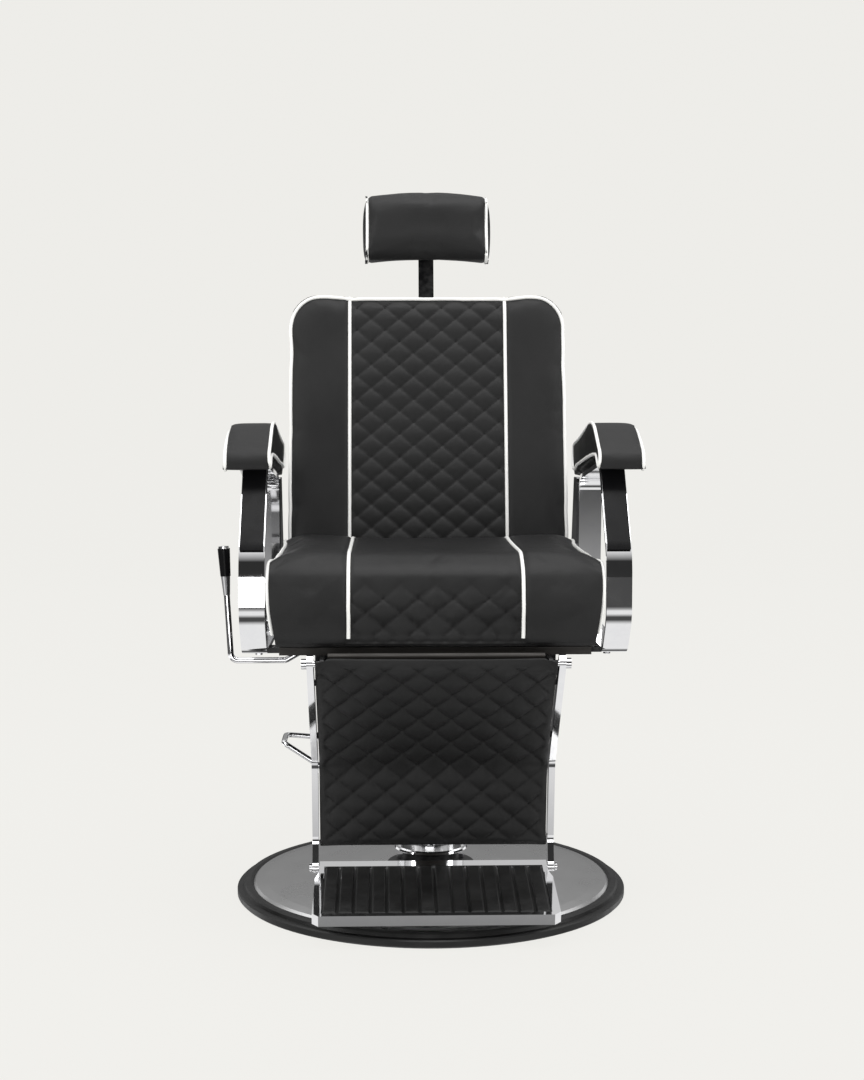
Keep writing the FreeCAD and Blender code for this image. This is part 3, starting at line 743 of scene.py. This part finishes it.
def makeSeat():
    low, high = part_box("seat_cushion")
    profile = [(high.y, high.z), (low.y + 0.046, high.z - 0.003)]
    for turn in np.linspace(0, math.pi / 2, 9)[1:]:
        profile.append((low.y + 0.042 - 0.040 * math.sin(turn), high.z - 0.043 + 0.040 * math.cos(turn)))
    profile.append((low.y, low.z + 0.02))
    piece = startCushion("seatCover", "seat_cushion", unmoved, seat["voxel"], seat["shrink"])
    puff(piece, seat["cap"], share=(0.45, 0.7, 1),
         pinned=lambda p: 1 - fade(p[:, 2], low.z + 0.004, low.z + 0.03))
    fitBox(piece, low - Vector((0.002, 0.003, 0)), high + Vector((0.002, -0.001, 0.004)))
    points = readPoints(piece.data)
    # barrel sides, drawn in towards the underside
    height = (points[:, 2] - low.z) / (high.z - low.z)
    tuckIn = 0.048 * np.clip(0.62 - height, 0, 1) ** 1.5 / 0.62 ** 1.5
    points[:, 0] *= 1 - tuckIn - 0.010 * np.clip(height - 0.7, 0, 1)
    writePoints(piece.data, points)
    facing = readNormals(piece.data)
    along, away = alongProfile(points, profile)
    outer = window(away, -1, 0.03, 0.006) * fade(facing[:, 2] - facing[:, 1], 0.1, 0.5)
    half = seatPanelHalf(points)
    across = points[:, 0]
    panel = 1 - fade(np.abs(across) - half, -0.006, -0.002)
    sewn = panel * fade(along, seat["quiltFrom"] - 0.03, seat["quiltFrom"] + 0.015) * outer
    amount = quiltHeight(across, along, seat["quilt"]) * sewn
    amount += groove(np.abs(across) - half, 0.005, 0.004) * outer
    # foam rolls up into the side panels and sags a touch where people sit
    amount += 0.003 * window(np.abs(across), half, 0.235, 0.03) * outer
    sit = np.exp(-((across / 0.16) ** 2 + ((points[:, 1] + 0.05) / 0.13) ** 2))
    sit = sit * fade(facing[:, 2], 0.6, 0.9)
    amount -= 0.004 * sit
    amount += unevenness(points, 0.0011) * (1 - sewn)
    pushOut(piece, amount)
    surface = surfaceOf(piece)
    step = seat["rowStep"]
    evened = evenRun([(0, y, z) for y, z in profile], step, False)
    ways = np.gradient(evened, axis=0)

    def onShow(p):
        inside = p.z > low.z + 0.014 and p.y < high.y - 0.012
        return inside and (p.z > high.z - 0.06 or p.y < low.y + 0.06)

    for side, label in ((-1, "Left"), (1, "Right")):
        inner = [(side * (high.x - seat["edgeIn"]), p[1], p[2]) for p in evened]
        outward = [(side * 0.7, w[2] / step * 0.72, -w[1] / step * 0.72) for w in ways]
        inner = [np.array(p) - np.array((0, o[1], o[2])) * 0.022 for p, o in zip(inner, outward)]
        run = edgeRun(surface, inner, outward)
        piping("seatEdgePiping" + label, evenRun(run, step, False), seat["piping"], False, "chair", unmoved,
               surface, 0.6)
        run = sectionLoop(piece, (side * (seat["panel"] - 0.001), 0, 0), (1, 0, 0), onShow)
        run = evenRun(run, step, False)
        run[:, 0] -= side * seat["narrows"] * fade(run[:, 1], 0.06, 0.13)
        piping("seatPanelPiping" + label, run, seat["piping"], False, "chair", unmoved, surface)
    runs = quiltRuns(surface, profile, seat["quilt"], seat["panel"] - 0.007, seat["quiltFrom"] + 0.004,
                     seat["quiltFrom"] + 0.13)
    stitches("seatStitches", runs, "chair", unmoved)
    finishCushion(piece, "seat_cushion", "chair", unmoved)


makeSeat()


# ---- back ----
back = {"panel": 0.141, "cap": 0.010, "shrink": 0.006, "voxel": 0.0058, "piping": 0.0031, "corner": 0.060,
        "edgeIn": 0.014, "rowStep": 0.006, "aside": 0.66, "ahead": -0.75,
        "quilt": {"wide": 0.0510, "tall": 0.0425, "deep": 0.0042, "tuft": 0.0024, "side": 1}}


def localBox(node, toLocal):
    points = readPoints(nodes[node].data) @ np.array(toLocal.to_3x3()).T + np.array(toLocal.translation)
    return Vector(points.min(0)), Vector(points.max(0))


def makeBack():
    low, high = localBox("back_cushion", worldToBack)
    profile = [(low.y, low.z), (low.y, high.z)]
    piece = startCushion("backCover", "back_cushion", worldToBack, back["voxel"], back["shrink"])
    puff(piece, back["cap"], share=(0.4, 1, 0.4),
         pinned=lambda p: fade(p[:, 1], high.y - 0.012, high.y - 0.002))
    fitBox(piece, low - Vector((0.001, 0.004, 0)), high + Vector((0.001, 0, 0.001)))
    points = readPoints(piece.data)
    facing = readNormals(piece.data)
    outer = fade(-facing[:, 1], 0.25, 0.7)
    across, along = points[:, 0], points[:, 2] - low.z
    panel = 1 - fade(np.abs(across) - back["panel"], -0.006, -0.002)
    sewn = panel * outer * (1 - fade(points[:, 2], high.z - 0.016, high.z - 0.006))
    amount = quiltHeight(across, along, back["quilt"]) * sewn
    amount += groove(np.abs(across) - back["panel"], 0.005, 0.004) * outer
    amount += 0.004 * window(np.abs(across), back["panel"], 0.235, 0.03) * outer
    amount += unevenness(points, 0.0010) * (1 - sewn)
    pushOut(piece, amount)
    surface = surfaceOf(piece)
    inset, step, aside, ahead = back["edgeIn"], back["rowStep"], back["aside"], back["ahead"]
    turn = back["corner"] - inset
    inner, outward = [], []
    for z in np.arange(low.z + 0.012, high.z - inset - turn, step):
        inner.append((high.x - inset, low.y + inset, z))
        outward.append((aside, ahead, 0))
    for a in np.linspace(0, math.pi / 2, 12):
        inner.append((high.x - inset - turn * (1 - math.cos(a)), low.y + inset,
                      high.z - inset - turn * (1 - math.sin(a))))
        outward.append((aside * math.cos(a), ahead, aside * math.sin(a)))
    for x in np.arange(high.x - inset - turn - step, 0, -step):
        inner.append((x, low.y + inset, high.z - inset))
        outward.append((0, ahead, aside))
    inner += [(-x, y, z) for x, y, z in reversed(inner)]
    outward += [(-x, y, z) for x, y, z in reversed(outward)]
    run = edgeRun(surface, inner, outward)
    piping("backEdgePiping", evenRun(run, step, False), back["piping"], False, "backrest", backToWorld,
           surface, 0.5)
    for side, label in ((-1, "Left"), (1, "Right")):
        run = sectionLoop(piece, (side * back["panel"], 0, 0), (1, 0, 0),
                          lambda p: p.y < low.y + 0.022 and p.z > low.z + 0.01)
        piping("backPanelPiping" + label, evenRun(run, step, False), back["piping"], False, "backrest",
               backToWorld, surface)
    runs = quiltRuns(surface, profile, back["quilt"], back["panel"] - 0.007, 0.02, high.z - low.z - 0.012)
    stitches("backStitches", runs, "backrest", backToWorld)
    finishCushion(piece, "back_cushion", "backrest", backToWorld)


rear = {"voxel": 0.0062, "shrink": 0.003, "cap": 0.006, "corner": 0.046, "piping": 0.0026, "seamX": 0.135,
        "seamZ": 0.12, "seamWide": 0.004, "seamDeep": 0.0035, "threadOff": 0.006}


def makeBackCover():
    low, high = localBox("back_cover", worldToBack)
    shell = bmesh.new()
    bmesh.ops.create_cube(shell, size=1)
    size = high - low
    bmesh.ops.scale(shell, vec=(size.x, size.y, size.z), verts=shell.verts)
    bmesh.ops.translate(shell, vec=(low + high) / 2, verts=shell.verts)
    tops = [e for e in shell.edges if abs(e.verts[0].co.y - e.verts[1].co.y) > size.y / 2
            and e.verts[0].co.z > low.z + size.z / 2]
    bmesh.ops.bevel(shell, geom=tops, offset=rear["corner"], segments=8, affect="EDGES", profile=0.5)
    mesh = bpy.data.meshes.new("rearCover")
    shell.to_mesh(mesh)
    shell.free()
    piece = linkPiece("rearCover", mesh)
    evenCover(piece, rear["voxel"], 5, rear["shrink"])
    puff(piece, rear["cap"], pinned=lambda p: 1 - fade(p[:, 1], low.y + 0.002, low.y + 0.01))
    fitBox(piece, low, high + Vector((0, 0.002, 0)))
    points = readPoints(piece.data)
    facing = readNormals(piece.data)
    shown = fade(facing[:, 1], 0.2, 0.6)
    amount = groove(np.abs(points[:, 0]) - rear["seamX"], rear["seamWide"], rear["seamDeep"]) * shown
    amount += groove(points[:, 2] - (low.z + rear["seamZ"]), rear["seamWide"], rear["seamDeep"]) * shown
    amount += unevenness(points, 0.0010)
    pushOut(piece, amount)
    surface = surfaceOf(piece)
    run = sectionLoop(piece, (0, high.y - 0.007, 0), (0, 1, 0))
    piping("rearEdgePiping", evenRun(run, 0.007, True), rear["piping"], True, "backrest", backToWorld,
           surface, 0.4)
    runs = []
    for side in (-1, 1):
        for shift in (-rear["threadOff"], rear["threadOff"]):
            run = []
            for z in np.arange(low.z + 0.02, high.z - 0.02, 0.0021):
                start = Vector((side * rear["seamX"] + shift, high.y + 0.03, z))
                hit = surface.ray_cast(start, Vector((0, -1, 0)))
                if hit[0] is not None:
                    run.append((hit[0], hit[1]))
            runs.append(run)
    stitches("rearStitches", runs, "backrest", backToWorld)
    finishCushion(piece, "back_cover", "backrest", backToWorld)


makeBack()
makeBackCover()


# ---- headrest ----
head = {"cap": 0.009, "shrink": 0.006, "voxel": 0.0045, "piping": 0.0029, "inset": 0.0065, "arch": 0.010,
        "hollow": 0.006, "lift": 0.003}


def makeHeadrest():
    low, high = localBox("headrest_cushion", worldToBack)
    piece = startCushion("headCover", "headrest_cushion", worldToBack, head["voxel"], head["shrink"], 6)
    puff(piece, head["cap"], share=(0.8, 1, 0.8))
    fitBox(piece, low - Vector((0.002, 0.002, 0)), high + Vector((0.002, 0, 0)))
    points = readPoints(piece.data)
    half = (high.x - low.x) / 2
    ends = (points[:, 0] / half) ** 2
    middle = (low.z + high.z) / 2
    points[:, 2] += head["arch"] * (0.6 - ends)
    # the barrel thins towards its ends and hollows for the neck
    points[:, 2] = middle + (points[:, 2] - middle) * (1.0 - 0.02 * ends)
    neck = np.exp(-((points[:, 2] - low.z - 0.05) / 0.04) ** 2) * (1 - np.clip(ends, 0, 1))
    points[:, 1] += head["hollow"] * neck * fade(-points[:, 1], 0.03, 0.06)
    writePoints(piece.data, points)
    amount = groove(np.abs(points[:, 0]) - half + head["inset"], 0.004, 0.0035)
    amount = amount + unevenness(points, 0.0009)
    pushOut(piece, amount)
    for side, label in ((-1, "Left"), (1, "Right")):
        run = sectionLoop(piece, (side * (half - head["inset"]), 0, 0), (1, 0, 0))
        ring = evenRun(run, 0.005, True, 14)
        centre = ring.mean(0)
        grown = ring - centre
        ring = centre + grown * (1 + head["lift"] / np.linalg.norm(grown, axis=1)[:, None])
        piping("headPiping" + label, ring, head["piping"], True, "headrest", backToWorld)
    finishCushion(piece, "headrest_cushion", "headrest", backToWorld)


makeHeadrest()


# ---- arm pads ----
armPad = {"cap": 0.006, "shrink": 0.004, "voxel": 0.0048, "piping": 0.0026, "inset": 0.004, "spread": 0.07}


def makeArmPad(side):
    node = "arm_pad_" + side
    low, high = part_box(node)
    piece = startCushion(node.replace("_", "") + "Cover", node, unmoved, armPad["voxel"], armPad["shrink"])
    puff(piece, armPad["cap"], share=(0.5, 0.7, 1))
    fitBox(piece, low, high + Vector((0, 0, 0.002)))
    points = readPoints(piece.data)
    # the pad spreads a little outwards as it goes down
    out = -1 if side == "left" else 1
    points[:, 0] += out * armPad["spread"] * ((low.z + high.z) / 2 - points[:, 2])
    writePoints(piece.data, points)
    pushOut(piece, unevenness(points, 0.0009))
    surface = surfaceOf(piece)
    for x, label in ((low.x + armPad["inset"], "A"), (high.x - armPad["inset"], "B")):
        run = sectionLoop(piece, (x, 0, 0), (1, 0, 0))
        piping("armPiping" + side + label, evenRun(run, 0.005, True, 1), armPad["piping"], True, "chair",
               unmoved, surface, 0.5)
    finishCushion(piece, node, "chair", unmoved)


for armSide in ("left", "right"):
    makeArmPad(armSide)


# ---- leg rest pad ----
calf = {"cap": 0.007, "shrink": 0.004, "voxel": 0.0048, "half": 0.172,
        "quilt": {"wide": 0.0515, "tall": 0.0435, "deep": 0.0060, "tuft": 0.0026, "side": -1}}


def makeCalf():
    low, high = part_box("calf_pad")
    piece = startCushion("calfCover", "calf_pad", unmoved, calf["voxel"], calf["shrink"], 12)
    puff(piece, calf["cap"], share=(0.5, 1, 0.8))
    fitBox(piece, low, high)
    surface = surfaceOf(piece)
    run = [p for p in sectionLoop(piece, (0, 0, 0), (1, 0, 0)) if surface.find_nearest(p)[1].y < -0.35]
    run.sort(key=lambda p: -p.z)
    profile = [(p[1], p[2]) for p in evenRun(run, 0.02, False)]
    points = readPoints(piece.data)
    facing = readNormals(piece.data)
    # rows are even in height, so the diamonds stretch on the slope above the bend
    top = profile[0][1]
    along = top - points[:, 2]
    outer = fade(-facing[:, 1] - facing[:, 2] * 0.4, 0.25, 0.6)
    reach = top - profile[-1][1]
    sewn = outer * window(along, 0.012, reach - 0.010, 0.006)
    sewn = sewn * (1 - fade(np.abs(points[:, 0]), calf["half"] - 0.002, calf["half"] + 0.006))
    amount = quiltHeight(points[:, 0], along, calf["quilt"]) * sewn
    amount = amount + unevenness(points, 0.0008) * (1 - sewn)
    pushOut(piece, amount)
    surface = surfaceOf(piece)
    runs = quiltRuns(surface, profile, calf["quilt"], calf["half"], 0.014, reach - 0.012,
                     stops=[top - z for y, z in profile])
    stitches("calfStitches", runs, "leg_rest", unmoved)
    finishCushion(piece, "calf_pad", "leg_rest", unmoved)


makeCalf()


# ---- foot mat ----
footMat = {"bands": 14, "tall": 0.0024, "cross": 0.0042, "crossTall": 0.0006, "stepX": 0.0013,
           "stepY": 0.00105, "slope": 9.2, "floor": 0.003, "edge": 0.0005, "rim": 0.004}


def makeFootMat():
    hinge = Vector(joints["foot_flip"]["pos_m"])
    slope = Matrix.Translation(hinge) @ Matrix.Rotation(math.radians(footMat["slope"]), 4, "X")
    low, high = localBox("foot_mat", slope.inverted())
    edge, rim = footMat["edge"], footMat["rim"]
    xs = np.linspace(low.x + edge, high.x - edge, int((high.x - low.x) / footMat["stepX"]))
    ys = np.linspace(low.y + edge, high.y - edge, int((high.y - low.y) / footMat["stepY"]))
    gridX, gridY = np.meshgrid(xs, ys)
    phase = (gridX - low.x) / (high.x - low.x) * footMat["bands"]
    share = phase - np.floor(phase)
    band = fade(share, 0.04, 0.16) * (1 - fade(share, 0.84, 0.96))
    cross = np.abs(np.sin(np.pi * gridY / footMat["cross"]))
    border = fade(gridX, low.x, low.x + rim) * (1 - fade(gridX, high.x - rim, high.x))
    border = border * fade(gridY, low.y, low.y + rim) * (1 - fade(gridY, high.y - rim, high.y))
    rise = low.z + footMat["floor"] + border * band * (footMat["tall"] + footMat["crossTall"] * cross)
    top = np.stack([gridX, gridY, rise], -1).reshape(-1, 3)
    under = top.copy()
    under[:, 2] = low.z
    wide, deep = len(xs), len(ys)
    verts = np.vstack([top, under])
    half = len(top)
    faces = []
    for j in range(deep - 1):
        for i in range(wide - 1):
            a = j * wide + i
            faces.append((a, a + 1, a + wide + 1, a + wide))
    ring = list(range(wide)) + [j * wide + wide - 1 for j in range(1, deep)]
    ring += [(deep - 1) * wide + i for i in range(wide - 2, -1, -1)]
    ring += [j * wide for j in range(deep - 2, 0, -1)]
    for a, b in zip(ring, ring[1:] + ring[:1]):
        faces.append((a, a + half, b + half, b))
    faces.append(tuple(half + a for a in reversed(ring)))
    mesh = bpy.data.meshes.new("ribbedMat")
    mesh.from_pydata([slope @ Vector(v) for v in verts], [], faces)
    used = bmesh.new()
    used.from_mesh(mesh)
    bmesh.ops.delete(used, geom=[v for v in used.verts if not v.link_faces], context="VERTS")
    used.to_mesh(mesh)
    used.free()
    mesh.materials.append(matRubber)
    piece = linkPiece("ribbedMat", mesh)
    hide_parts("foot_mat")
    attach(piece, "foot_plate")
    print("mat ribbed")


makeFootMat()
